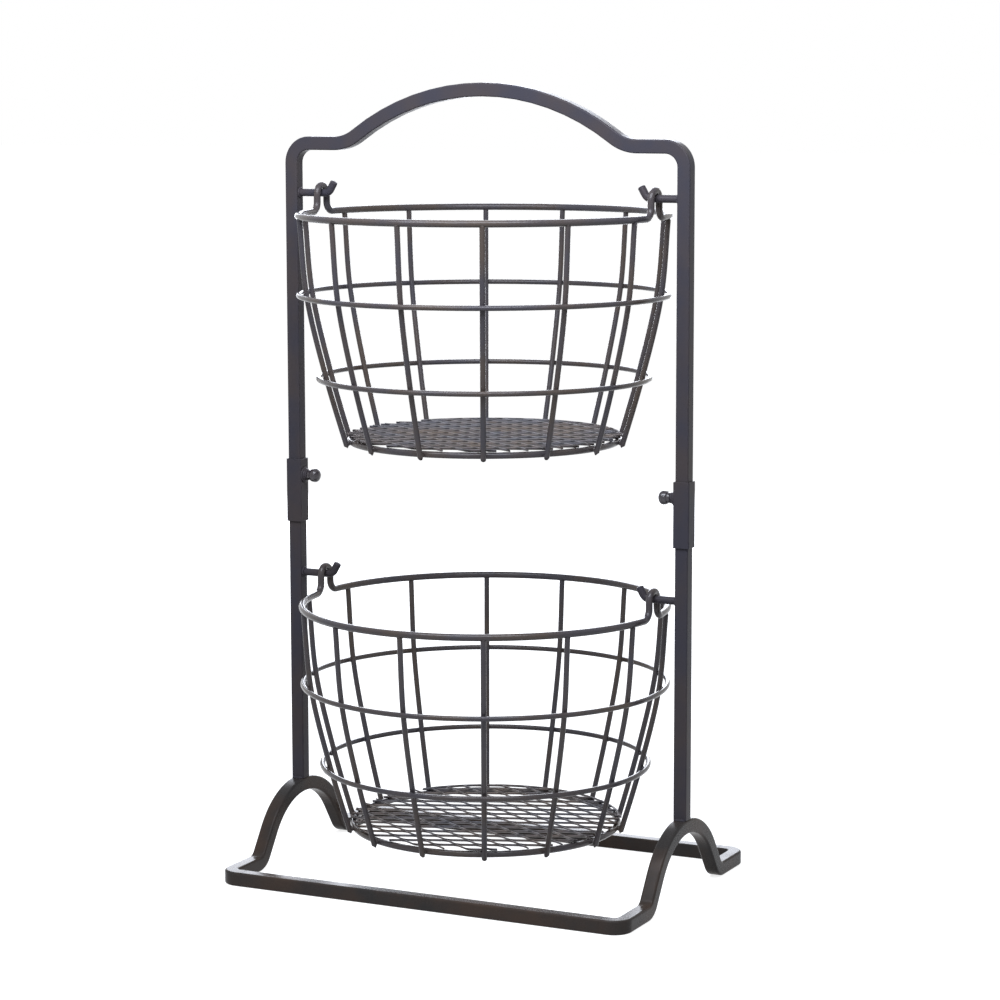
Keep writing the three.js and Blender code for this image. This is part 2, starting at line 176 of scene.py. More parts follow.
class FrameSizes(bpy.types.PropertyGroup):
    """Sizes of the square-bar frame, its sleeves, screws and hooks"""

    bar: length("Frame bar", "Width of the square bar of the handle frame and the posts", 10.5)
    base_bar: length("Base bar", "Width of the square bar of the base", 11)
    edge: length("Frame edge", "Radius of the long edges of the frame bar", 1.2)
    base_edge: length("Base edge", "Radius of the long edges of the base bar", 1.7)
    shoulder_bend: length("Shoulder bend", "Inside radius where a leg turns into the shoulder", 10)
    handle_bend: length("Handle bend", "Inside radius where the shoulder turns up into the arch", 28)
    handle_radius: length("Handle radius", "Inside radius of the arch", 180)
    handle_rise: length("Handle rise", "Height of the arch above the shoulder", 41.6)
    corner_bend: length("Corner bend", "Inside radius of a base corner", 3.5)
    bow_radius: length("Bow radius", "Inside radius of the crown of a side bow", 56.5)
    bow_slope: angle("Bow slope", "Angle of a bow's legs above the level", 55)
    foot_bend: length("Foot bend", "Inside radius where a bow's leg turns into its foot run", 8)
    sleeve_wall: length("Sleeve wall", "Thickness of a sleeve's wall", 1)
    sleeve_edge: length("Sleeve edge", "Radius of the long edges of a sleeve", 1.4)
    sleeve_lip: length("Sleeve lip", "Rounding of the ends of a sleeve", 0.35)
    hook_rod: length("Hook rod", "Diameter of a hook's rod", 6)
    hook_bend: length("Hook bend", "Inside radius of a hook's bend", 3)
    hook_tip: length("Hook tip", "Straight length of a hook's upturned tip", 7)
    hook_angle: angle("Hook angle", "Angle of a hook's tip above the level", 60)
    boss_face: length("Boss face", "Diameter of a screw boss at the screw's collar", 8.6)
    screw_shank: length("Screw shank", "Diameter of a thumbscrew's shank", 5)
    collar: length("Collar", "Diameter of a thumbscrew's collar", 8)
    collar_length: length("Collar length", "Length of a thumbscrew's collar", 2.2)
    knob_length: length("Knob length", "Length of a thumbscrew's round head", 7.6)
    post_bead: length("Post bead", "Diameter of the weld bead at a post's foot", 3)
    rod_bead: length("Rod bead", "Diameter of the weld bead round a hook or a boss", 2)


class BasketSizes(bpy.types.PropertyGroup):
    """Sizes of the two wire baskets"""

    rim_wire: length("Rim wire", "Diameter of the rim wire", 5.4)
    hoop_wire: length("Hoop wire", "Diameter of the two hoops", 4)
    ring_wire: length("Ring wire", "Diameter of the bottom ring", 5)
    rib_wire: length("Rib wire", "Diameter of a rib", 4.2)
    rib_tail: length("Rib tail", "Length of a rib below the middle of the bottom ring", 2.6)
    weld_spot: length("Weld spot", "Diameter of the weld where two wires cross", 4.3)
    loop_spacing: length("Loop spacing", "Distance between the two legs of a hanger loop", 15)
    loop_fillet: length("Loop fillet", "Radius of the bend from the rim into a loop's leg", 8)
    floor_overhang: length("Floor overhang", "Floor edge past the middle of the bottom ring", 1.6)
    short_pitch: length("Short pitch", "Diamond to diamond across the expanded metal", 16)
    long_pitch: length("Long pitch", "Diamond to diamond along the expanded metal", 28)
    strand_width: length("Strand width", "Width of a strand of the expanded metal", 3.4)
    strand_thickness: length("Strand thickness", "Thickness of a strand of the expanded metal", 1.2)
    strand_slant: angle("Strand slant", "Angle by which the strands lean out of the sheet", 30)
    mesh_turn: angle("Mesh turn", "Angle between the short pitch and the line of the hooks", 85)
    wire_sides: IntProperty(name="Wire sides", description="Facets round a wire", default=16, min=8)


class CoatColours(bpy.types.PropertyGroup):
    """Colours of the powder coat"""

    frame_coat: colour("Frame", "Coat of the handle frame, the posts and the sleeves", "36353c")
    frame_tint: colour("Frame tint", "Browner patches of the frame's coat", "3d3839")
    base_coat: colour("Base", "Coat of the base", "32302f")
    base_tint: colour("Base tint", "Browner patches of the base's coat", "3f352f")
    wire_coat: colour("Wire", "Coat of the basket wires", "3b393e")
    wire_tint: colour("Wire tint", "Browner patches of the wires' coat", "443c37")
    # painted light: the floors' coat and tint are set lighter than the wires' to stand in for the light the
    # leaning strands catch from the floor below
    mesh_coat: colour("Mesh", "Coat of the expanded-metal floors", "57565c")
    mesh_tint: colour("Mesh tint", "Browner patches of the floors' coat", "645952")
    screw_coat: colour("Screw", "Coat of the thumbscrews", "302e33")
    screw_tint: colour("Screw tint", "Browner patches of the thumbscrews' coat", "352f31")


class StudioSettings(bpy.types.PropertyGroup):
    """Camera, backdrop and lamp colour"""

    camera_turn: angle("Camera turn", "Camera round the stand, from the front towards the right", 25.99)
    camera_tilt: angle("Camera tilt", "Angle of the camera above the level", 7.97)
    camera_roll: angle("Camera roll", "Turn of the camera about its line of sight", -0.11)
    camera_distance: length("Camera distance", "From the camera to the stand's upright axis", 2401.7)
    camera_right: length("Camera right", "Place of the view's middle to the right of the axis", 11.1)
    camera_height: length("Camera height", "Place of the view's middle above the table", 292.3)
    camera_lens: FloatProperty(
        name="Camera lens", description="Focal length in millimetres", default=110.16, unit="CAMERA"
    )
    backdrop: colour("Backdrop", "Colour of the floor and the backdrop", "ffffff")
    daylight: colour("Daylight", "Colour of the lamps", "eff4ff")


def add_node(tree, kind, inputs=None, **settings):
    """Adds a node. Each input, by its name or number, is a plain value, a socket that feeds it, or a
    node that feeds it from its first output."""
    node = tree.nodes.new(kind)
    for name, value in settings.items():
        setattr(node, name, value)
    for key, value in (inputs or {}).items():
        source = value.outputs[0] if isinstance(value, bpy.types.Node) else value
        if isinstance(source, bpy.types.NodeSocket):
            tree.links.new(source, node.inputs[key])
        else:
            node.inputs[key].default_value = source
    return node


def new_shape_tree(name, sizes):
    """Starts a shape tree whose inputs are a guide, the named sizes and a coat."""
    tree = bpy.data.node_groups.new(name, "GeometryNodeTree")
    tree.interface.new_socket("Guide", in_out="INPUT", socket_type="NodeSocketGeometry")
    for label in sizes:
        tree.interface.new_socket(label, in_out="INPUT", socket_type="NodeSocketFloat")
    tree.interface.new_socket("Coat", in_out="INPUT", socket_type="NodeSocketMaterial")
    tree.interface.new_socket("Shape", in_out="OUTPUT", socket_type="NodeSocketGeometry")
    return tree, tree.nodes.new("NodeGroupInput").outputs


def close_shape_tree(tree, given, shape):
    """Ends a shape tree: smooth faces, real geometry, the coat."""
    smooth = add_node(tree, "GeometryNodeSetShadeSmooth", {"Geometry": shape})
    real = add_node(tree, "GeometryNodeRealizeInstances", {"Geometry": smooth})
    coated = add_node(tree, "GeometryNodeSetMaterial", {"Geometry": real, "Material": given["Coat"]})
    add_node(tree, "NodeGroupOutput", {"Shape": coated})
    return tree


def round_sweep(tree, path, diameter, sides, scale):
    """Round section along a path, thinned or swollen by the scale."""
    radius = add_node(tree, "ShaderNodeMath", {0: diameter, 1: 0.5}, operation="MULTIPLY")
    outline = add_node(tree, "GeometryNodeCurvePrimitiveCircle", {"Resolution": sides, "Radius": radius})
    return add_node(
        tree,
        "GeometryNodeCurveToMesh",
        {"Curve": path, "Profile Curve": outline, "Scale": scale, "Fill Caps": True},
    )


def swept_wire(tree, given):
    """Round wire along the guide, thinned where the guide's taper says so."""
    path = add_node(tree, "GeometryNodeMeshToCurve", {"Mesh": given["Guide"]})
    taper = add_node(tree, "GeometryNodeInputNamedAttribute", {"Name": "taper"}, data_type="FLOAT")
    return round_sweep(tree, path, given["Diameter"], given["Sides"], taper)


def bar_tree(name):
    """Square bar with rounded edges along the guide."""
    tree, given = new_shape_tree(name, ["Width", "Edge", "Capped"])
    path = add_node(tree, "GeometryNodeMeshToCurve", {"Mesh": given["Guide"]})
    square = add_node(
        tree, "GeometryNodeCurvePrimitiveQuadrilateral", {"Width": given["Width"], "Height": given["Width"]}
    )
    outline = add_node(
        tree,
        "GeometryNodeFilletCurve",
        {"Curve": square, "Count": BAR_EDGE_STEPS, "Radius": given["Edge"]},
        mode="POLY",
    )
    swept = add_node(
        tree,
        "GeometryNodeCurveToMesh",
        {"Curve": path, "Profile Curve": outline, "Fill Caps": given["Capped"]},
    )
    return close_shape_tree(tree, given, swept)


def wire_tree(name):
    """Single wire or rod."""
    tree, given = new_shape_tree(name, ["Diameter", "Sides"])
    return close_shape_tree(tree, given, swept_wire(tree, given))


def rib_tree(name):
    """Ribs of a basket: one wire, repeated round the basket's axis."""
    tree, given = new_shape_tree(name, ["Diameter", "Sides", "Count", "Hang"])
    rib = swept_wire(tree, given)
    place = add_node(tree, "ShaderNodeCombineXYZ", {2: given["Hang"]})
    spots = add_node(
        tree,
        "GeometryNodeMeshLine",
        {"Count": given["Count"], "Start Location": place, "Offset": (0, 0, 0)},
    )
    index = add_node(tree, "GeometryNodeInputIndex")
    share = add_node(tree, "ShaderNodeMath", {0: index, 1: given["Count"]}, operation="DIVIDE")
    turn = add_node(
        tree, "ShaderNodeMath", {0: share, 1: math.tau, 2: FIRST_RIB}, operation="MULTIPLY_ADD"
    )
    rotation = add_node(tree, "ShaderNodeCombineXYZ", {2: turn})
    ring = add_node(
        tree, "GeometryNodeInstanceOnPoints", {"Points": spots, "Instance": rib, "Rotation": rotation}
    )
    return close_shape_tree(tree, given, ring)


def expanded_metal_tree(name):
    """Disc of expanded metal at each point of the guide: leaning strands that zigzag from bond to bond."""
    sizes = ["Radius", "Short Pitch", "Long Pitch", "Width", "Thickness", "Slant", "Turn"]
    tree, given = new_shape_tree(name, sizes)

    # straight strands side by side, half a short pitch apart
    row_pitch = add_node(tree, "ShaderNodeMath", {0: given["Short Pitch"], 1: 0.5}, operation="MULTIPLY")
    quarter = add_node(tree, "ShaderNodeMath", {0: given["Short Pitch"], 1: 0.25}, operation="MULTIPLY")
    row_share = add_node(tree, "ShaderNodeMath", {0: given["Radius"], 1: row_pitch}, operation="DIVIDE")
    half_rows = add_node(tree, "ShaderNodeMath", {0: row_share}, operation="CEIL")
    row_count = add_node(tree, "ShaderNodeMath", {0: half_rows, 1: 2.0, 2: 1.0}, operation="MULTIPLY_ADD")
    spread = add_node(
        tree, "ShaderNodeMath", {0: half_rows, 1: row_pitch, 2: quarter}, operation="MULTIPLY_ADD"
    )
    back = add_node(tree, "ShaderNodeMath", {0: spread, 1: -1.0}, operation="MULTIPLY")
    start = add_node(tree, "ShaderNodeCombineXYZ", {0: back})
    step = add_node(tree, "ShaderNodeCombineXYZ", {0: row_pitch})
    rows = add_node(
        tree, "GeometryNodeMeshLine", {"Count": row_count, "Start Location": start, "Offset": step}
    )
    reach = add_node(tree, "ShaderNodeMath", {0: given["Radius"], 1: -1.0}, operation="MULTIPLY")
    line_start = add_node(tree, "ShaderNodeCombineXYZ", {1: reach})
    line_end = add_node(tree, "ShaderNodeCombineXYZ", {1: given["Radius"]})
    line = add_node(tree, "GeometryNodeCurvePrimitiveLine", {"Start": line_start, "End": line_end})
    spacing = add_node(
        tree, "ShaderNodeMath", {0: given["Long Pitch"], 1: 1 / STRAND_STEPS}, operation="MULTIPLY"
    )
    fine = add_node(tree, "GeometryNodeResampleCurve", {"Curve": line, "Length": spacing}, mode="LENGTH")
    strands = add_node(tree, "GeometryNodeInstanceOnPoints", {"Points": rows, "Instance": fine})
    loose = add_node(tree, "GeometryNodeRealizeInstances", {"Geometry": strands})

    # every other strand swings the opposite way, so that neighbours meet at the bonds
    position = add_node(tree, "GeometryNodeInputPosition")
    axes = add_node(tree, "ShaderNodeSeparateXYZ", {0: position}).outputs
    across = add_node(tree, "ShaderNodeMath", {0: axes["X"], 1: quarter}, operation="ADD")
    row = add_node(tree, "ShaderNodeMath", {0: across, 1: row_pitch}, operation="DIVIDE")
    row_number = add_node(tree, "ShaderNodeMath", {0: row}, operation="ROUND")
    half_turn = add_node(tree, "ShaderNodeMath", {0: row_number, 1: math.pi}, operation="MULTIPLY")
    parity = add_node(tree, "ShaderNodeMath", {0: half_turn}, operation="COSINE")
    along = add_node(tree, "ShaderNodeMath", {0: axes["Y"], 1: given["Long Pitch"]}, operation="DIVIDE")
    fold = add_node(tree, "ShaderNodeMath", {0: along, 1: 0.5}, operation="PINGPONG")
    wave = add_node(
        tree,
        "ShaderNodeMapRange",
        {"Value": fold, "From Min": BOND_REACH, "From Max": 0.5 - BOND_REACH, "To Min": -1.0, "To Max": 1.0},
    )
    seat = add_node(tree, "ShaderNodeMath", {0: given["Width"], 1: BOND_SEAT}, operation="MULTIPLY")
    swing = add_node(tree, "ShaderNodeMath", {0: quarter, 1: seat}, operation="SUBTRACT")
    signed = add_node(tree, "ShaderNodeMath", {0: parity, 1: swing}, operation="MULTIPLY")
    sideways = add_node(tree, "ShaderNodeMath", {0: signed, 1: wave}, operation="MULTIPLY")
    offset = add_node(tree, "ShaderNodeCombineXYZ", {0: sideways})
    zigzag = add_node(tree, "GeometryNodeSetPosition", {"Geometry": loose, "Offset": offset})

    # the cut round the disc: strands that meet its back edge at a slant run on along it to the next one
    away = add_node(tree, "ShaderNodeVectorMath", {0: position}, operation="LENGTH").outputs["Value"]
    back_start = add_node(tree, "ShaderNodeMath", {0: given["Radius"], 1: BACK_START}, operation="MULTIPLY")
    at_back = add_node(tree, "ShaderNodeMath", {0: axes["X"], 1: back_start}, operation="GREATER_THAN")
    next_row = add_node(tree, "ShaderNodeMath", {0: axes["X"], 1: row_pitch}, operation="SUBTRACT")
    slope = add_node(tree, "ShaderNodeMath", {0: row_pitch, 1: next_row}, operation="DIVIDE")
    overshoot = add_node(tree, "ShaderNodeMath", {0: slope, 1: given["Radius"]}, operation="MULTIPLY")
    limit = add_node(
        tree, "ShaderNodeMath", {0: at_back, 1: overshoot, 2: given["Radius"]}, operation="MULTIPLY_ADD"
    )
    outside = add_node(tree, "ShaderNodeMath", {0: away, 1: limit}, operation="GREATER_THAN")
    trimmed = add_node(
        tree, "GeometryNodeDeleteGeometry", {"Geometry": zigzag, "Selection": outside}, domain="POINT"
    )
    inward = add_node(tree, "ShaderNodeMath", {0: given["Radius"], 1: away}, operation="DIVIDE")
    shrink = add_node(tree, "ShaderNodeMath", {0: inward, 1: 1.0}, operation="MINIMUM")
    on_edge = add_node(tree, "ShaderNodeVectorMath", {0: position, "Scale": shrink}, operation="SCALE")
    pressed = add_node(tree, "GeometryNodeSetPosition", {"Geometry": trimmed, "Position": on_edge})
    span = add_node(tree, "GeometryNodeSplineLength")
    stub = add_node(tree, "ShaderNodeMath", {0: span, 1: SHORTEST_STRAND}, operation="LESS_THAN")
    kept = add_node(
        tree, "GeometryNodeDeleteGeometry", {"Geometry": pressed, "Selection": stub}, domain="CURVE"
    )

    # nearness to a bond, where painted shade darkens the coat as if the strands shaded each other there
    bend = add_node(tree, "ShaderNodeMath", {0: wave}, operation="ABSOLUTE")
    painted_shade_mask = add_node(
        tree, "ShaderNodeMapRange", {"Value": bend, "From Min": PAINTED_SHADE_START, "From Max": 1.0}
    )
    marked = add_node(
        tree,
        "GeometryNodeStoreNamedAttribute",
        {"Geometry": kept, "Name": "bond", "Value": painted_shade_mask},
        data_type="FLOAT",
        domain="POINT",
    )

    # flat strip that leans along each strand
    level = add_node(tree, "GeometryNodeSetCurveNormal", {"Curve": marked}, mode="Z_UP")
    leaning = add_node(tree, "GeometryNodeSetCurveTilt", {"Curve": level, "Tilt": given["Slant"]})
    strip = add_node(
        tree,
        "GeometryNodeCurvePrimitiveQuadrilateral",
        {"Width": given["Width"], "Height": given["Thickness"]},
    )
    outline = add_node(
        tree, "GeometryNodeFilletCurve", {"Curve": strip, "Count": 1, "Radius": STRAND_EDGE}, mode="POLY"
    )
    swept = add_node(
        tree, "GeometryNodeCurveToMesh", {"Curve": leaning, "Profile Curve": outline, "Fill Caps": True}
    )
    turn = add_node(tree, "ShaderNodeCombineXYZ", {2: given["Turn"]})
    discs = add_node(
        tree,
        "GeometryNodeInstanceOnPoints",
        {"Points": given["Guide"], "Instance": swept, "Rotation": turn},
    )
    return close_shape_tree(tree, given, discs)


def bead_tree(name):
    """Rippled weld bead along the guide."""
    tree, given = new_shape_tree(name, ["Diameter", "Ripple"])
    path = add_node(tree, "GeometryNodeMeshToCurve", {"Mesh": given["Guide"]})
    spacing = add_node(
        tree, "ShaderNodeMath", {0: given["Ripple"], 1: 1 / RIPPLE_STEPS}, operation="MULTIPLY"
    )
    fine = add_node(tree, "GeometryNodeResampleCurve", {"Curve": path, "Length": spacing}, mode="LENGTH")
    along = add_node(tree, "GeometryNodeSplineParameter").outputs["Length"]
    turns = add_node(tree, "ShaderNodeMath", {0: along, 1: given["Ripple"]}, operation="DIVIDE")
    phase = add_node(tree, "ShaderNodeMath", {0: turns, 1: math.tau}, operation="MULTIPLY")
    ripple = add_node(tree, "ShaderNodeMath", {0: phase}, operation="SINE")
    swell = add_node(
        tree, "ShaderNodeMath", {0: ripple, 1: RIPPLE_DEPTH, 2: 1 - RIPPLE_DEPTH}, operation="MULTIPLY_ADD"
    )
    taper = add_node(tree, "GeometryNodeInputNamedAttribute", {"Name": "taper"}, data_type="FLOAT")
    scale = add_node(tree, "ShaderNodeMath", {0: swell, 1: taper}, operation="MULTIPLY")
    return close_shape_tree(tree, given, round_sweep(tree, fine, given["Diameter"], BEAD_SIDES, scale))


def spot_tree(name):
    """Small squeezed weld spot at each point of the guide, turned by chance."""
    tree, given = new_shape_tree(name, ["Diameter"])
    radius = add_node(tree, "ShaderNodeMath", {0: given["Diameter"], 1: 0.5}, operation="MULTIPLY")
    ball = add_node(tree, "GeometryNodeMeshIcoSphere", {"Radius": radius, "Subdivisions": 2})
    angles = add_node(
        tree,
        "FunctionNodeRandomValue",
        {"Max": (math.tau, math.tau, math.tau), "Seed": SPOT_SEED},
        data_type="FLOAT_VECTOR",
    )
    spots = add_node(
        tree,
        "GeometryNodeInstanceOnPoints",
        {"Points": given["Guide"], "Instance": ball, "Rotation": angles, "Scale": SPOT_SQUEEZE},
    )
    return close_shape_tree(tree, given, spots)


SHAPES = {
    "bent bar": bar_tree,
    "drawn wire": wire_tree,
    "basket ribs": rib_tree,
    "expanded metal": expanded_metal_tree,
    "weld bead": bead_tree,
    "weld spots": spot_tree,
}


def guide_mesh(name, paths, closed=False, tapers=None):
    """Mesh of bare edges through the points of each path, with its taper."""
    points = [point for path in paths for point in path]
    edges = []
    first = 0
    for path in paths:
        edges += [(first + index, first + index + 1) for index in range(len(path) - 1)]
        if closed:
            edges.append((first + len(path) - 1, first))
        first += len(path)
    mesh = bpy.data.meshes.new(name)
    mesh.from_pydata(points, edges, [])
    taper = mesh.attributes.new("taper", "FLOAT", "POINT")
    taper.data.foreach_set("value", tapers or [1.0] * len(points))
    return mesh


def settle(obj):
    """Turns an object with its modifiers into a plain mesh."""
    depsgraph = bpy.context.evaluated_depsgraph_get()
    mesh = bpy.data.meshes.new_from_object(obj.evaluated_get(depsgraph), depsgraph=depsgraph)
    guide = obj.data
    obj.modifiers.clear()
    obj.data = mesh
    bpy.data.meshes.remove(guide)
    mesh.name = obj.name
    if not mesh.polygons:
        raise RuntimeError(f"{obj.name} came out empty")


def even_shading(obj):
    """Keeps flat faces flat beside their rounded edges, and hard corners hard."""
    obj.data.set_sharp_from_angle(angle=HARD_CORNER)
    weighted = obj.modifiers.new("Even shading", "WEIGHTED_NORMAL")
    weighted.keep_sharp = True
    settle(obj)


def shape(name, kind, guide, coat, **sizes):
    """New object whose mesh a shape tree makes from a guide."""
    tree = bpy.data.node_groups.get(kind) or SHAPES[kind](kind)
    obj = bpy.data.objects.new(name, guide)
    bpy.context.scene.collection.objects.link(obj)
    modifier = obj.modifiers.new("Shape", "NODES")
    modifier.node_group = tree
    values = {key.replace("_", " ").title(): float(value) for key, value in sizes.items()}
    values["Coat"] = coat
    for socket in tree.interface.items_tree:
        if socket.in_out == "INPUT" and socket.name in values:
            modifier[socket.identifier] = values[socket.name]
    return obj


def fasten(obj, body, slot, *nodes):
    """The finished piece rides on a body and stands for its nodes."""
    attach(obj, body)
    if nodes:
        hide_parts(*nodes)


def middle(node):
    """Middle of a node's box."""
    low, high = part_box(node)
    return (low + high) / 2


def outer_x(node):
    """Distance from the stand's middle to the far end of a node at its side."""
    low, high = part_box(node)
    return max(abs(low.x), abs(high.x))


def bent_path(corners, radii):
    """Points along the middle of a bar that is bent at each inner corner to a radius of its own."""
    points = [corners[0]]
    for before, corner, after, radius in zip(corners, corners[1:], corners[2:], radii):
        arriving = (corner - before).normalized()
        leaving = (after - corner).normalized()
        turn = arriving.angle(leaving)
        start = corner - arriving * radius * math.tan(turn / 2)
        inward = (leaving - arriving * arriving.dot(leaving)).normalized()
        steps = 2 * max(2, math.ceil(turn / BEND_STEP / 2))
        for step in range(steps + 1):
            part = turn * step / steps
            points.append(
                start + arriving * radius * math.sin(part) + inward * radius * (1 - math.cos(part))
            )
    points.append(corners[-1])
    return points


def smooth_path(stations, steps):
    """Points of a smooth curve through the stations."""
    padded = [2 * stations[0] - stations[1], *stations, 2 * stations[-1] - stations[-2]]
    points = []
    for index in range(len(stations) - 1):
        a, b, c, d = padded[index : index + 4]
        knots = [0.0]
        for first, second in ((a, b), (b, c), (c, d)):
            knots.append(knots[-1] + math.sqrt((second - first).length))
        for step in range(steps):
            t = knots[1] + (knots[2] - knots[1]) * step / steps
            ab = a.lerp(b, (t - knots[0]) / (knots[1] - knots[0]))
            bc = b.lerp(c, (t - knots[1]) / (knots[2] - knots[1]))
            cd = c.lerp(d, (t - knots[2]) / (knots[3] - knots[2]))
            abc = ab.lerp(bc, (t - knots[0]) / (knots[2] - knots[0]))
            bcd = bc.lerp(cd, (t - knots[1]) / (knots[3] - knots[1]))
            points.append(abc.lerp(bcd, (t - knots[1]) / (knots[2] - knots[1])))
    points.append(stations[-1])
    return points


def rounded_tip(path, depth):
    """Path and taper of a rod whose last end is rounded off over a depth."""
    end = path[-1]
    back = (path[-2] - end).normalized()
    tip = [end + back * depth * (1 - math.sin(turn)) for turn in TIP_TURNS]
    tapers = [1.0] * (len(path) - 1) + [math.cos(turn) for turn in TIP_TURNS]
    return path[:-1] + tip, tapers


def level_circle(radius, z):
    """Level circle round the stand's upright axis."""
    turns = [math.tau * step / CIRCLE_STEPS for step in range(CIRCLE_STEPS)]
    return [Vector((radius * math.cos(turn), radius * math.sin(turn), z)) for turn in turns]


def upright_circle(x, radius, z):
    """Upright circle round a line that runs from side to side."""
    turns = [math.tau * step / RING_BEAD_STEPS for step in range(RING_BEAD_STEPS)]
    return [Vector((x, radius * math.cos(turn), z + radius * math.sin(turn))) for turn in turns]


def hoop_wires(sizes):
    """Wire diameters of a basket's hoops and ring."""
    return {"top_hoop": sizes.hoop_wire, "low_hoop": sizes.hoop_wire, "bottom_ring": sizes.ring_wire}


def wire_places(tier, sizes):
    """Radius and height of the middle of a basket's rim, hoops and ring."""
    low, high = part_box(f"{tier}_rim")
    places = {"rim": (high.y - sizes.rim_wire / 2, low.z + sizes.rim_wire / 2)}
    for part, wire in hoop_wires(sizes).items():
        node = f"{tier}_{part}"
        places[part] = (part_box(node)[1].y - wire / 2, middle(node).z)
    return places


def powder_coat(name, base, tint, roughness, sheen, grain):
    """Powder-coated steel: sprayed polyester baked to a satin, faintly pebbled skin. The eye sees a dark
    coat that drifts slowly between charcoal and brown, with a fine grain, faint smudges in its sheen
    and bright reflections only where it is seen at a low angle."""
    coat = bpy.data.materials.get(name)
    if coat:
        return coat
    coat = bpy.data.materials.new(name)
    coat.use_nodes = True
    tree = coat.node_tree
    tree.nodes.clear()
    place = add_node(tree, "ShaderNodeTexCoord").outputs["Object"]
    drift = add_node(
        tree,
        "ShaderNodeTexNoise",
        {"Vector": place, "Scale": 1 / PATCH, "Detail": 3.0, "Roughness": 0.6},
    )
    share = add_node(
        tree,
        "ShaderNodeMapRange",
        {"Value": drift.outputs["Fac"], "From Min": PATCH_START, "From Max": PATCH_FULL},
    )
    hue = add_node(tree, "ShaderNodeMix", {0: share, 6: (*base, 1.0), 7: (*tint, 1.0)}, data_type="RGBA")
    # painted shade: the coat is darkened near the bonds of the expanded metal, where the strands shade each
    # other
    painted_shade_mask = add_node(tree, "ShaderNodeAttribute", attribute_name="bond")
    shade = add_node(
        tree, "ShaderNodeMapRange", {"Value": painted_shade_mask.outputs["Fac"], "To Min": 1.0, "To Max": BOND_SHADE}
    )
    shaded = add_node(tree, "ShaderNodeVectorMath", {0: hue.outputs[2], "Scale": shade}, operation="SCALE")
    # the pebbles of the baked powder are drawn a little coarser than real, so that they show
    pebble = add_node(tree, "ShaderNodeTexNoise", {"Vector": place, "Scale": 1 / grain, "Detail": 2.0})
    smudge = add_node(tree, "ShaderNodeTexNoise", {"Vector": place, "Scale": 1 / SMUDGE, "Detail": 4.0})
    marks = add_node(
        tree, "ShaderNodeMath", {0: pebble.outputs["Fac"], 1: smudge.outputs["Fac"]}, operation="ADD"
    )
    gloss = add_node(
        tree,
        "ShaderNodeMapRange",
        {
            "Value": marks,
            "From Min": SMOOTHEST,
            "From Max": ROUGHEST,
            "To Min": roughness - ROUGHNESS_SPREAD,
            "To Max": roughness + ROUGHNESS_SPREAD,
        },
    )
    bump = add_node(
        tree,
        "ShaderNodeBump",
        {"Strength": PEBBLE_STRENGTH, "Distance": PEBBLE_DEPTH, "Height": pebble.outputs["Fac"]},
    )
    skin = add_node(
        tree,
        "ShaderNodeBsdfPrincipled",
        {"Base Color": shaded, "Roughness": gloss, "Specular IOR Level": sheen, "Normal": bump},
    )
    add_node(tree, "ShaderNodeOutputMaterial", {"Surface": skin})
    return coat


def coat_of(slot):
    """Material of one of the record's slots."""
    colours = bpy.context.scene.stand_colours
    base = tuple(getattr(colours, slot))
    tint = tuple(getattr(colours, slot.replace("_coat", "_tint")))
    name, roughness, sheen, grain = FINISHES[slot]
    return powder_coat(name, base, tint, roughness, sheen, grain)


def bar_piece(name, path, width, edge, coat):
    """Capped square bar along a path."""
    guide = guide_mesh(f"{name}_path", [path])
    obj = shape(name, "bent bar", guide, coat, width=width, edge=edge, capped=1)
    settle(obj)
    even_shading(obj)
    return obj


def wire_piece(name, path, diameter, sides, coat, tapers=None):
    """Round wire along a path, closed unless it has tapers."""
    guide = guide_mesh(f"{name}_path", [path], closed=tapers is None, tapers=tapers)
    obj = shape(name, "drawn wire", guide, coat, diameter=diameter, sides=sides)
    settle(obj)
    even_shading(obj)
    return obj


class BASKETSTAND_OT_handle_frame(bpy.types.Operator):
    """One square bar bent into the two upper legs, the shoulders and the arched handle"""

    bl_idname = "basket_stand.handle_frame"
    bl_label = "Handle frame"

    def execute(self, context):
        sizes = context.scene.stand_frame
        low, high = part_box("upper_frame")
        post_x = middle("right_post").x
        half = sizes.bar / 2
        arch = sizes.handle_radius + half
        turn_up = sizes.handle_bend + half
        shoulder = sizes.shoulder_bend + half
        shoulder_z = high.z - half - sizes.handle_rise
        slope = math.acos(1 - sizes.handle_rise / (arch + turn_up))
        corner_x = (arch + turn_up) * math.sin(slope) - turn_up * math.tan(slope / 2)
        corners = [
            Vector((-post_x, 0, low.z)),
            Vector((-post_x, 0, shoulder_z)),
            Vector((-corner_x, 0, shoulder_z)),
            Vector((0, 0, shoulder_z + corner_x * math.tan(slope))),
            Vector((corner_x, 0, shoulder_z)),
            Vector((post_x, 0, shoulder_z)),
            Vector((post_x, 0, low.z)),
        ]
        path = bent_path(corners, [shoulder, turn_up, arch, turn_up, shoulder])
        obj = bar_piece("handle_frame_bar", path, sizes.bar, sizes.edge, coat_of("frame_coat"))
        fasten(obj, "upper_frame", "frame_coat", "upper_frame")
        return {"FINISHED"}


class BASKETSTAND_OT_posts(bpy.types.Operator):
    """The two lower posts of square bar"""

    bl_idname = "basket_stand.posts"
    bl_label = "Posts"

    def execute(self, context):
        sizes = context.scene.stand_frame
        for word, _side in SIDES:
            node = f"{word}_post"
            low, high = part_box(node)
            x = middle(node).x
            path = [Vector((x, 0, low.z - SEAT_GAP)), Vector((x, 0, high.z))]
            obj = bar_piece(f"{node}_bar", path, sizes.bar, sizes.edge, coat_of("frame_coat"))
            fasten(obj, "base", "frame_coat", node)
        return {"FINISHED"}


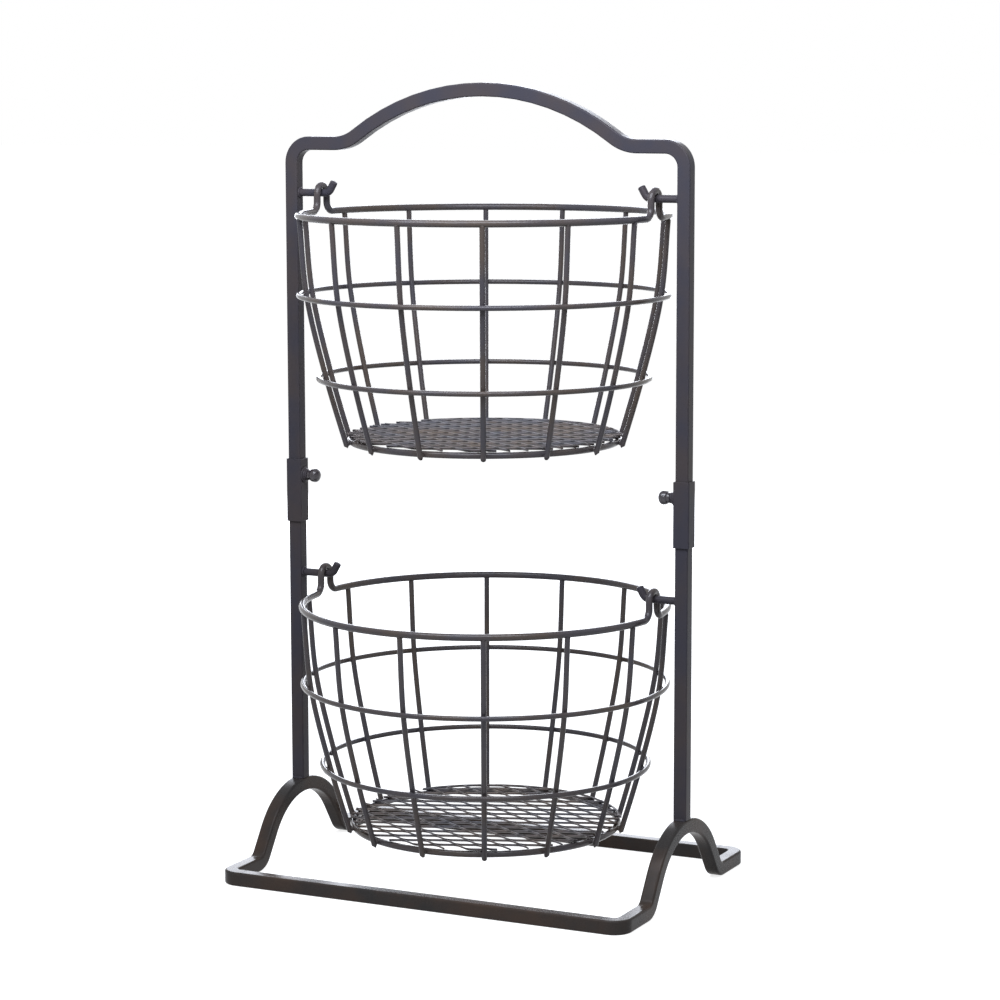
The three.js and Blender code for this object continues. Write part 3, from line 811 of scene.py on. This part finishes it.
class BASKETSTAND_OT_base(bpy.types.Operator):
    """The front and rear rails and the two side bows with their feet"""

    bl_idname = "basket_stand.base"
    bl_label = "Base"

    def rail_path(self, node):
        """Straight run, closed up to the bows at both ends."""
        low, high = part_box(node)
        centre = middle(node)
        return [
            Vector((low.x - SEAT_GAP, centre.y, centre.z)),
            Vector((high.x + SEAT_GAP, centre.y, centre.z)),
        ]

    def bow_path(self, sizes, word, side):
        """From the front rail round the corner, over the bell-shaped bow and back to the rear rail."""
        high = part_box(f"{word}_side_bow")[1]
        half = sizes.base_bar / 2
        x = middle(f"{word}_post").x
        rail_end = side * outer_x("front_rail")
        rail_y = high.y - half
        crown = sizes.bow_radius + half
        peak = high.z - half + crown * (1 / math.cos(sizes.bow_slope) - 1)
        foot_y = (peak - half) / math.tan(sizes.bow_slope)
        corners = [
            Vector((rail_end, -rail_y, half)),
            Vector((x, -rail_y, half)),
            Vector((x, -foot_y, half)),
            Vector((x, 0, peak)),
            Vector((x, foot_y, half)),
            Vector((x, rail_y, half)),
            Vector((rail_end, rail_y, half)),
        ]
        corner = sizes.corner_bend + half
        foot = sizes.foot_bend + half
        return bent_path(corners, [corner, foot, crown, foot, corner])

    def execute(self, context):
        sizes = context.scene.stand_frame
        paths = {node: self.rail_path(node) for node in ("front_rail", "rear_rail")}
        for word, side in SIDES:
            paths[f"{word}_side_bow"] = self.bow_path(sizes, word, side)
        for node, path in paths.items():
            obj = bar_piece(f"{node}_bar", path, sizes.base_bar, sizes.base_edge, coat_of("base_coat"))
            fasten(obj, "base", "base_coat", node)
        return {"FINISHED"}


class BASKETSTAND_OT_sleeves(bpy.types.Operator):
    """Square tubes over the joints of the posts and the upper legs"""

    bl_idname = "basket_stand.sleeves"
    bl_label = "Sleeves"

    def execute(self, context):
        sizes = context.scene.stand_frame
        for word, _side in SIDES:
            node = f"{word}_sleeve"
            low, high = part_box(node)
            x = middle(node).x
            guide = guide_mesh(f"{node}_path", [[Vector((x, 0, low.z)), Vector((x, 0, high.z))]])
            obj = shape(
                f"{node}_tube",
                "bent bar",
                guide,
                coat_of("frame_coat"),
                width=high.x - low.x,
                edge=sizes.sleeve_edge,
                capped=0,
            )
            wall = obj.modifiers.new("Wall", "SOLIDIFY")
            wall.thickness = sizes.sleeve_wall
            wall.offset = -1
            wall.use_even_offset = True
            lip = obj.modifiers.new("Lip", "BEVEL")
            lip.width = sizes.sleeve_lip
            lip.segments = LIP_STEPS
            lip.limit_method = "ANGLE"
            lip.angle_limit = LIP_CORNER
            settle(obj)
            even_shading(obj)
            fasten(obj, "base", "frame_coat", node)
        return {"FINISHED"}


class BASKETSTAND_OT_screws(bpy.types.Operator):
    """Flared bosses on the sleeves, and the thumbscrews with round heads"""

    bl_idname = "basket_stand.screws"
    bl_label = "Bosses and thumbscrews"

    def turned(self, node, profile, side, coat):
        """Turned piece from a node's far end inwards; the profile is distance along and radius."""
        name = f"{node}_turned"
        start = side * outer_x(node)
        z = middle(node).z
        shell = bmesh.new()
        verts = [shell.verts.new((start - side * along, radius, z)) for along, radius in profile]
        edges = [shell.edges.new(pair) for pair in zip(verts, verts[1:])]
        bmesh.ops.spin(
            shell,
            geom=verts + edges,
            cent=(start, 0, z),
            axis=(1, 0, 0),
            angle=math.tau,
            steps=TURNED_STEPS,
        )
        bmesh.ops.remove_doubles(shell, verts=shell.verts, dist=0.001 * MM)
        bmesh.ops.recalc_face_normals(shell, faces=shell.faces)
        for face in shell.faces:
            face.smooth = True
        mesh = bpy.data.meshes.new(name)
        shell.to_mesh(mesh)
        shell.free()
        mesh.materials.append(coat)
        obj = bpy.data.objects.new(name, mesh)
        bpy.context.scene.collection.objects.link(obj)
        even_shading(obj)
        return obj

    def boss_profile(self, sizes, node):
        """A boss from its flared foot on the sleeve to its face, and back along its bore."""
        low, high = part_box(node)
        reach = high.x - low.x
        bore = sizes.screw_shank / 2 + SEAT_GAP
        foot = (high.z - low.z) / 2
        face = sizes.boss_face / 2
        flare = []
        for step in range(FLARE_STEPS + 1):
            turn = math.pi / 2 * step / FLARE_STEPS
            narrowed = (1 - math.cos(turn)) ** FLARE_POWER
            flare.append((FLARE_SHARE * reach * math.sin(turn), foot - (foot - face) * narrowed))
        rounding = [(reach - back * MM, face - inward * MM) for back, inward in BOSS_ROUNDING]
        return [(0, bore), *flare, *rounding, (reach, bore), (0, bore)]

    def screw_profile(self, sizes, node):
        """A thumbscrew from the end of its shank over the collar to its round head."""
        low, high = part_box(node)
        reach = high.x - low.x
        knob = (high.z - low.z) / 2
        knob_start = reach - sizes.knob_length
        collar_start = knob_start - sizes.collar_length
        shank = sizes.screw_shank / 2
        collar = sizes.collar / 2
        stem = [
            (0, 0),
            (0, shank - SHANK_CHAMFER),
            (SHANK_CHAMFER, shank),
            (collar_start, shank),
            (collar_start, collar - COLLAR_CHAMFER),
            (collar_start + COLLAR_CHAMFER, collar),
            (knob_start - NECK, collar),
        ]
        ball = []
        for step in range(1, KNOB_STEPS):
            turn = math.pi * step / KNOB_STEPS
            foot = collar if turn < math.pi / 2 else 0
            radius = foot + (knob - foot) * math.sin(turn)
            ball.append((knob_start + sizes.knob_length * (1 - math.cos(turn)) / 2, radius))
        return [*stem, *ball, (reach, 0)]

    def execute(self, context):
        sizes = context.scene.stand_frame
        for word, side in SIDES:
            boss = f"{word}_screw_boss"
            obj = self.turned(boss, self.boss_profile(sizes, boss), side, coat_of("frame_coat"))
            fasten(obj, "base", "frame_coat", boss)
            screw = f"{word}_thumbscrew"
            obj = self.turned(screw, self.screw_profile(sizes, screw), side, coat_of("screw_coat"))
            fasten(obj, screw, "screw_coat", screw)
        return {"FINISHED"}


class BASKETSTAND_OT_hooks(bpy.types.Operator):
    """Four hooks of round rod with upturned, rounded tips"""

    bl_idname = "basket_stand.hooks"
    bl_label = "Hooks"

    def execute(self, context):
        sizes = context.scene.stand_frame
        basket = context.scene.stand_basket
        bend = sizes.hook_bend + sizes.hook_rod / 2
        tangent = bend * math.tan(sizes.hook_angle / 2)
        reach = tangent + sizes.hook_tip
        for tier, body in HOOK_BODIES.items():
            rim_radius = wire_places(tier, basket)["rim"][0]
            corner = rim_radius - basket.rim_wire / 2 - SEAT_GAP - tangent
            tip = corner - reach * math.cos(sizes.hook_angle)
            for word, side in SIDES:
                node = f"{tier}_{word}_hook"
                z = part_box(node)[0].z + sizes.hook_rod / 2
                corners = [
                    Vector((side * (outer_x(node) + SEAT_GAP), 0, z)),
                    Vector((side * corner, 0, z)),
                    Vector((side * tip, 0, z + reach * math.sin(sizes.hook_angle))),
                ]
                path, tapers = rounded_tip(bent_path(corners, [bend]), HOOK_TIP_DEPTH)
                coat = coat_of("frame_coat")
                obj = wire_piece(f"{node}_rod", path, sizes.hook_rod, HOOK_SIDES, coat, tapers)
                fasten(obj, body, "frame_coat", node)
        return {"FINISHED"}


class BASKETSTAND_OT_rims(bpy.types.Operator):
    """Closed rim wires that rise into a loop over each hook"""

    bl_idname = "basket_stand.rims"
    bl_label = "Basket rims"

    def loop_outline(self, sizes, rise):
        """A hanger loop, as distance round the rim and height above it."""
        half = sizes.loop_spacing / 2
        fillet = sizes.loop_fillet
        end = half + LOOP_LEAD * fillet
        corners = [
            Vector((-end, 0, 0)),
            Vector((-half, 0, 0)),
            Vector((-half, 0, rise)),
            Vector((half, 0, rise)),
            Vector((half, 0, 0)),
            Vector((end, 0, 0)),
        ]
        return bent_path(corners, [fillet, half, half, fillet])

    def execute(self, context):
        sizes = context.scene.stand_basket
        for tier in TIERS:
            node = f"{tier}_rim"
            low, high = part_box(node)
            radius, rim_z = wire_places(tier, sizes)["rim"]
            outline = self.loop_outline(sizes, high.z - low.z - sizes.rim_wire)
            loop_end = outline[-1].x / radius
            turns = []
            for loop in (0, math.pi):
                turns += [(loop + spot.x / radius, rim_z + spot.z) for spot in outline]
                run = math.pi - 2 * loop_end
                turns += [(loop + loop_end + run * step / RIM_STEPS, rim_z) for step in range(1, RIM_STEPS)]
            path = [Vector((radius * math.cos(turn), radius * math.sin(turn), z)) for turn, z in turns]
            obj = wire_piece(f"{node}_wire", path, sizes.rim_wire, sizes.wire_sides, coat_of("wire_coat"))
            fasten(obj, f"{tier}_basket", "wire_coat", node)
        return {"FINISHED"}


class BASKETSTAND_OT_hoops(bpy.types.Operator):
    """The two hoops and the bottom ring of each basket"""

    bl_idname = "basket_stand.hoops"
    bl_label = "Basket hoops"

    def execute(self, context):
        sizes = context.scene.stand_basket
        for tier in TIERS:
            places = wire_places(tier, sizes)
            for part, wire in hoop_wires(sizes).items():
                node = f"{tier}_{part}"
                path = level_circle(*places[part])
                obj = wire_piece(f"{node}_wire", path, wire, sizes.wire_sides, coat_of("wire_coat"))
                fasten(obj, f"{tier}_basket", "wire_coat", node)
        return {"FINISHED"}


class BASKETSTAND_OT_ribs(bpy.types.Operator):
    """Curved ribs round each basket, inside the hoops and outside the bottom ring"""

    bl_idname = "basket_stand.ribs"
    bl_label = "Basket ribs"

    def seat(self, sizes, wire, slope):
        """Level distance between the middles of a rib and a wire that touch on a slope."""
        return ((sizes.rib_wire + wire) / 2 + SEAT_GAP) * math.hypot(1, slope)

    def stations(self, sizes, places):
        """Places of a rib from the rim to its cut end, measured from the middle of the rim."""
        rim, rim_z = places["rim"]
        top, top_z = places["top_hoop"]
        low, low_z = places["low_hoop"]
        ring, ring_z = places["bottom_ring"]
        upper_slope = (rim - low) / (rim_z - low_z)
        lower_slope = (top - ring) / (top_z - ring_z)
        top_rib = top - self.seat(sizes, sizes.hoop_wire, upper_slope)
        low_rib = low - self.seat(sizes, sizes.hoop_wire, lower_slope)
        tail_run = low_rib - ring - self.seat(sizes, sizes.ring_wire, lower_slope)
        tail_slope = tail_run / (low_z - ring_z)
        ring_rib = ring + self.seat(sizes, sizes.ring_wire, tail_slope)
        tail = sizes.rib_tail
        return [
            Vector((rim + (sizes.rim_wire - sizes.rib_wire) / 2, 0, SEAT_GAP - sizes.rim_wire / 2)),
            Vector((top_rib, 0, top_z - rim_z)),
            Vector((low_rib, 0, low_z - rim_z)),
            Vector((ring_rib, 0, ring_z - rim_z)),
            Vector((ring_rib - tail * tail_slope, 0, ring_z - rim_z - tail)),
        ]

    def execute(self, context):
        sizes = context.scene.stand_basket
        for tier in TIERS:
            places = wire_places(tier, sizes)
            course = smooth_path(self.stations(sizes, places), RIB_STEPS)
            path, tapers = rounded_tip(course, RIB_TIP_DEPTH)
            guide = guide_mesh(f"{tier}_rib_path", [path], tapers=tapers)
            obj = shape(
                f"{tier}_ribs_wire",
                "basket ribs",
                guide,
                coat_of("wire_coat"),
                diameter=sizes.rib_wire,
                sides=sizes.wire_sides,
                count=len(RIBS),
                hang=places["rim"][1],
            )
            settle(obj)
            nodes = [name.replace("upper", tier) for name in RIBS]
            fasten(obj, f"{tier}_basket", "wire_coat", *nodes)
        return {"FINISHED"}


class BASKETSTAND_OT_floors(bpy.types.Operator):
    """Expanded-metal floors that lie on the bottom rings"""

    bl_idname = "basket_stand.floors"
    bl_label = "Basket floors"

    def execute(self, context):
        sizes = context.scene.stand_basket
        for tier in TIERS:
            node = f"{tier}_mesh_floor"
            guide = guide_mesh(f"{node}_middle", [[Vector((0, 0, middle(node).z))]])
            obj = shape(
                f"{node}_net",
                "expanded metal",
                guide,
                coat_of("mesh_coat"),
                radius=wire_places(tier, sizes)["bottom_ring"][0] + sizes.floor_overhang,
                short_pitch=sizes.short_pitch,
                long_pitch=sizes.long_pitch,
                width=sizes.strand_width,
                thickness=sizes.strand_thickness,
                slant=sizes.strand_slant,
                turn=sizes.mesh_turn,
            )
            settle(obj)
            even_shading(obj)
            fasten(obj, f"{tier}_basket", "mesh_coat", node)
        return {"FINISHED"}


class BASKETSTAND_OT_welds(bpy.types.Operator):
    """Weld beads of the hooks, bosses and post feet, and the weld spots of the basket wires"""

    bl_idname = "basket_stand.welds"
    bl_label = "Welds"

    def bead_piece(self, name, body, guide, diameter, ripple):
        """Weld beads along the paths of a guide, as one piece."""
        obj = shape(name, "weld bead", guide, coat_of("frame_coat"), diameter=diameter, ripple=ripple)
        settle(obj)
        fasten(obj, body, "frame_coat")

    def ring_beads(self, sizes, name, body, rings):
        """Beads that close on themselves, round a rod or a boss."""
        guide = guide_mesh(f"{name}_path", rings, closed=True)
        self.bead_piece(name, body, guide, sizes.rod_bead, RING_RIPPLE)

    def hook_beads(self, sizes, tier, body):
        """Beads where the two hooks of a tier leave the posts."""
        rings = []
        for word, side in SIDES:
            node = f"{tier}_{word}_hook"
            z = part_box(node)[0].z + sizes.hook_rod / 2
            rings.append(upright_circle(side * outer_x(node), sizes.hook_rod / 2 + SEAT_GAP, z))
        self.ring_beads(sizes, f"{tier}_hook_beads", body, rings)

    def boss_beads(self, sizes):
        """Beads where the bosses leave the sleeves."""
        rings = []
        for word, side in SIDES:
            node = f"{word}_screw_boss"
            low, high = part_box(node)
            rings.append(upright_circle(side * outer_x(node), (high.z - low.z) / 2, middle(node).z))
        self.ring_beads(sizes, "boss_beads", "base", rings)

    def foot_beads(self, sizes):
        """Straight beads in front of and behind the foot of each post."""
        run = sizes.bar / 2 - FOOT_BEAD_INSET
        beads = []
        for word, _side in SIDES:
            x = middle(f"{word}_post").x
            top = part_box(f"{word}_side_bow")[1].z
            for front in (-1, 1):
                y = front * (sizes.bar / 2 + FOOT_BEAD_OUT)
                beads.append([Vector((x + share * run, y, top)) for share in FOOT_BEAD_SWELL])
        tapers = list(FOOT_BEAD_SWELL.values()) * len(beads)
        guide = guide_mesh("post_foot_bead_path", beads, tapers=tapers)
        self.bead_piece("post_foot_beads", "base", guide, sizes.post_bead, FOOT_RIPPLE)

    def wire_spots(self, sizes, tier):
        """Weld spots where the ribs of a basket cross its rim, its hoops and its ring."""
        places = wire_places(tier, sizes)
        rim, rim_z = places["rim"]
        stations = [(rim + RIM_SPOT_OUT, rim_z - RIM_SPOT_DOWN)]
        for part, wire in hoop_wires(sizes).items():
            radius, z = places[part]
            outward = 1 if part == "bottom_ring" else -1
            stations.append((radius + outward * (wire + SEAT_GAP) / 2, z))
        points = []
        for index in range(len(RIBS)):
            turn = math.tau * index / len(RIBS) + FIRST_RIB
            points += [Vector((r * math.cos(turn), r * math.sin(turn), z)) for r, z in stations]
        guide = guide_mesh(f"{tier}_weld_spot_points", [[point] for point in points])
        coat = coat_of("wire_coat")
        obj = shape(f"{tier}_weld_spots", "weld spots", guide, coat, diameter=sizes.weld_spot)
        settle(obj)
        fasten(obj, f"{tier}_basket", "wire_coat")

    def execute(self, context):
        sizes = context.scene.stand_frame
        for tier, body in HOOK_BODIES.items():
            self.hook_beads(sizes, tier, body)
        self.boss_beads(sizes)
        self.foot_beads(sizes)
        for tier in TIERS:
            self.wire_spots(context.scene.stand_basket, tier)
        return {"FINISHED"}


class BASKETSTAND_OT_studio(bpy.types.Operator):
    """White floor and backdrop, soft lamps and the camera"""

    bl_idname = "basket_stand.studio"
    bl_label = "Studio"

    def seen(self, tree):
        """Share of camera, glossy and transmission rays, which see the plain backdrop."""
        path = add_node(tree, "ShaderNodeLightPath").outputs
        direct = add_node(
            tree, "ShaderNodeMath", {0: path["Is Camera Ray"], 1: path["Is Glossy Ray"]}, operation="MAXIMUM"
        )
        return add_node(
            tree, "ShaderNodeMath", {0: direct, 1: path["Is Transmission Ray"]}, operation="MAXIMUM"
        )

    def world(self, backdrop):
        """Soft light from all round, and the plain backdrop."""
        world = bpy.data.worlds.new("Studio")
        bpy.context.scene.world = world
        world.use_nodes = True
        tree = world.node_tree
        tree.nodes.clear()
        tone = (*backdrop, 1.0)
        soft = add_node(tree, "ShaderNodeBackground", {"Color": tone, "Strength": SOFT_LIGHT})
        plain = add_node(tree, "ShaderNodeBackground", {"Color": tone, "Strength": PLAIN_LIGHT})
        mixed = add_node(tree, "ShaderNodeMixShader", {0: self.seen(tree), 1: soft, 2: plain})
        add_node(tree, "ShaderNodeOutputWorld", {"Surface": mixed})

    def floor(self, backdrop):
        """Matt white paper: the eye sees one even white that keeps the stand's soft shadow."""
        mesh = bpy.data.meshes.new("studio_floor")
        signs = ((-1, -1), (1, -1), (1, 1), (-1, 1))
        corners = [(x * FLOOR_HALF, y * FLOOR_HALF, -FLOOR_DROP) for x, y in signs]
        mesh.from_pydata(corners, [], [(0, 1, 2, 3)])
        floor = bpy.data.objects.new("studio_floor", mesh)
        bpy.context.scene.collection.objects.link(floor)
        paper = bpy.data.materials.new("matt_white_paper")
        paper.use_nodes = True
        tree = paper.node_tree
        tree.nodes.clear()
        white = [PAPER_WHITE * channel for channel in backdrop]
        matt = add_node(tree, "ShaderNodeBsdfDiffuse", {"Color": (*white, 1.0)})
        glow = add_node(tree, "ShaderNodeEmission", {"Color": (*backdrop, 1.0), "Strength": PAPER_GLOW})
        both = add_node(tree, "ShaderNodeAddShader", {0: matt, 1: glow})
        mixed = add_node(tree, "ShaderNodeMixShader", {0: self.seen(tree), 1: matt, 2: both})
        add_node(tree, "ShaderNodeOutputMaterial", {"Surface": mixed})
        mesh.materials.append(paper)

    def lamp(self, name, tone, place, target, width, height, power):
        """Soft lamp, turned to its target and not seen itself."""
        light = bpy.data.lights.new(name, "AREA")
        light.shape = "RECTANGLE"
        light.color = tone
        light.size = width
        light.size_y = height
        light.energy = power
        lamp = bpy.data.objects.new(name, light)
        bpy.context.scene.collection.objects.link(lamp)
        lamp.location = place
        lamp.rotation_euler = (Vector(target) - Vector(place)).to_track_quat("-Z", "Y").to_euler()
        lamp.visible_camera = False

    def camera(self, studio):
        """Camera placed by its angles round the stand and its distance from the stand's axis."""
        camera = bpy.data.cameras.new("Camera")
        camera.sensor_width = SENSOR_WIDTH
        camera.lens = studio.camera_lens
        camera.clip_end = CLIP_END
        turn, tilt, roll = studio.camera_turn, studio.camera_tilt, studio.camera_roll
        back = Vector((math.sin(turn) * math.cos(tilt), -math.cos(turn) * math.cos(tilt), math.sin(tilt)))
        level_right = (-back).cross(Vector((0, 0, 1))).normalized()
        level_up = level_right.cross(-back)
        right = math.cos(roll) * level_right + math.sin(roll) * level_up
        up = -math.sin(roll) * level_right + math.cos(roll) * level_up
        eye = back * studio.camera_distance + right * studio.camera_right + up * studio.camera_height
        obj = bpy.data.objects.new("Camera", camera)
        bpy.context.scene.collection.objects.link(obj)
        obj.matrix_world = Matrix.Translation(eye) @ Matrix((right, up, back)).transposed().to_4x4()
        bpy.context.scene.camera = obj

    def execute(self, context):
        studio = context.scene.stand_studio
        backdrop = tuple(studio.backdrop)
        tone = tuple(studio.daylight)
        context.scene.view_settings.view_transform = "Standard"
        self.camera(studio)
        self.world(backdrop)
        self.floor(backdrop)
        for name, settings in LAMPS.items():
            self.lamp(name, tone, *settings)
        return {"FINISHED"}


class BASKETSTAND_PT_build(bpy.types.Panel):
    """Lists the pieces of the stand and their sizes"""

    bl_label = "Basket Stand"
    bl_idname = "BASKETSTAND_PT_build"
    bl_space_type = "VIEW_3D"
    bl_region_type = "UI"
    bl_category = "Basket Stand"

    def draw(self, context):
        for operator in OPERATORS:
            self.layout.operator(operator.bl_idname)
        for group in SETTINGS:
            settings = getattr(context.scene, group)
            box = self.layout.box()
            for prop in settings.bl_rna.properties:
                if prop.identifier not in ("rna_type", "name"):
                    box.prop(settings, prop.identifier)


SETTINGS = {
    "stand_frame": FrameSizes,
    "stand_basket": BasketSizes,
    "stand_colours": CoatColours,
    "stand_studio": StudioSettings,
}
OPERATORS = (
    BASKETSTAND_OT_handle_frame,
    BASKETSTAND_OT_posts,
    BASKETSTAND_OT_base,
    BASKETSTAND_OT_sleeves,
    BASKETSTAND_OT_screws,
    BASKETSTAND_OT_hooks,
    BASKETSTAND_OT_rims,
    BASKETSTAND_OT_hoops,
    BASKETSTAND_OT_ribs,
    BASKETSTAND_OT_floors,
    BASKETSTAND_OT_welds,
    BASKETSTAND_OT_studio,
)


def register():
    """Makes the settings, the operators and the panel known."""
    for group in SETTINGS.values():
        bpy.utils.register_class(group)
    for operator in OPERATORS:
        bpy.utils.register_class(operator)
    bpy.utils.register_class(BASKETSTAND_PT_build)
    for name, group in SETTINGS.items():
        setattr(bpy.types.Scene, name, PointerProperty(type=group))


def unregister():
    """Takes back what register made known, in the opposite order."""
    for name in SETTINGS:
        delattr(bpy.types.Scene, name)
    bpy.utils.unregister_class(BASKETSTAND_PT_build)
    for operator in reversed(OPERATORS):
        bpy.utils.unregister_class(operator)
    for group in reversed(SETTINGS.values()):
        bpy.utils.unregister_class(group)


def main():
    """Builds the stand and its studio."""
    register()
    bpy.ops.basket_stand.handle_frame()
    bpy.ops.basket_stand.posts()
    bpy.ops.basket_stand.base()
    bpy.ops.basket_stand.sleeves()
    bpy.ops.basket_stand.screws()
    bpy.ops.basket_stand.hooks()
    bpy.ops.basket_stand.rims()
    bpy.ops.basket_stand.hoops()
    bpy.ops.basket_stand.ribs()
    bpy.ops.basket_stand.floors()
    bpy.ops.basket_stand.welds()
    bpy.ops.basket_stand.studio()


if __name__ == "__main__":
    main()
